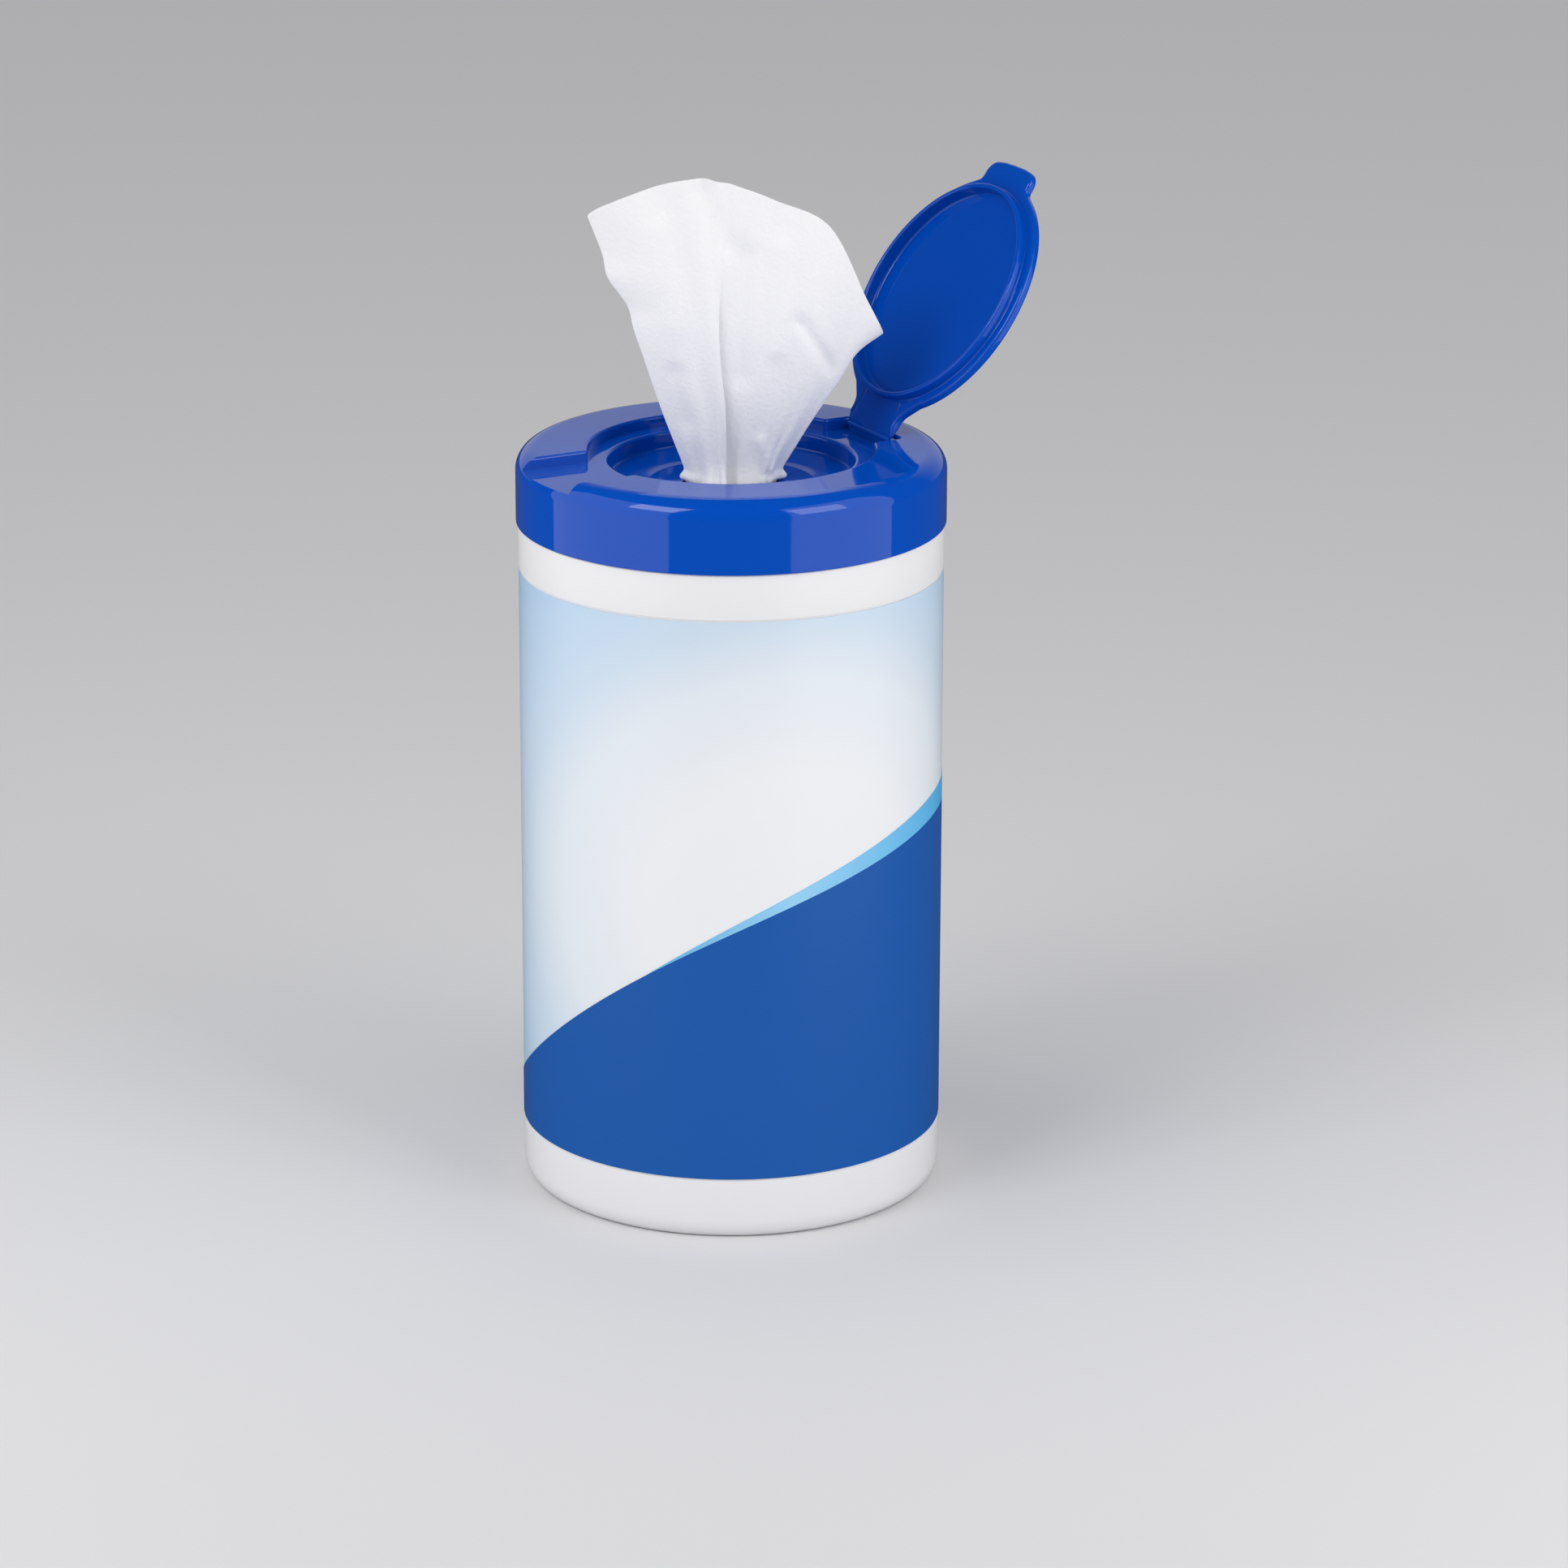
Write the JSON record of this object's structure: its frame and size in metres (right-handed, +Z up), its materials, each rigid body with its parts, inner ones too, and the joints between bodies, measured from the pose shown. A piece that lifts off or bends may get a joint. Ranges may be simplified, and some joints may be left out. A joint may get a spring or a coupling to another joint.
{
  "type": "pack of surface cleaning wipes",
  "caption": "Cylindrical canister of pull-out surface cleaning wipes, with a press-on cap, an open flip lid and a wipe drawn up through the dispensing hole.",
  "frame": {"origin": "centre of the canister's flat base, on its axis", "axes": "+Z up along the canister's axis, +X from the axis towards the flip lid's hinge"},
  "size_m": [0.1332, 0.105, 0.2527],
  "materials": {
    "white_hdpe": "satin, blow-moulded",
    "label_film": "semi-gloss printed film",
    "dark_print": "semi-gloss print",
    "light_print": "semi-gloss print",
    "blue_polypropylene": "glossy, injection-moulded",
    "nonwoven": "matt spunlace nonwoven"
  },
  "bodies": {
    "canister": {"canister_body": "white_hdpe", "label": "label_film", "label_dark_print": "dark_print", "label_light_print": "light_print", "wipe_roll": "nonwoven"},
    "cap": {"cap": "blue_polypropylene", "pulled_wipe": "nonwoven"},
    "lid": {"flip_lid": "blue_polypropylene"}
  },
  "joints": [
    {"name": "cap_lift", "type": "slide", "parent": "canister", "child": "cap", "axis": [0, 0, 1], "range_m": [0, 0.03]},
    {"name": "lid_hinge", "type": "hinge", "parent": "cap", "child": "lid", "pos_m": [0.03835, 0, 0.1855], "axis": [0, 1, 0], "range_deg": [-124, 8], "deforming": ["pulled_wipe"]}
  ]
}
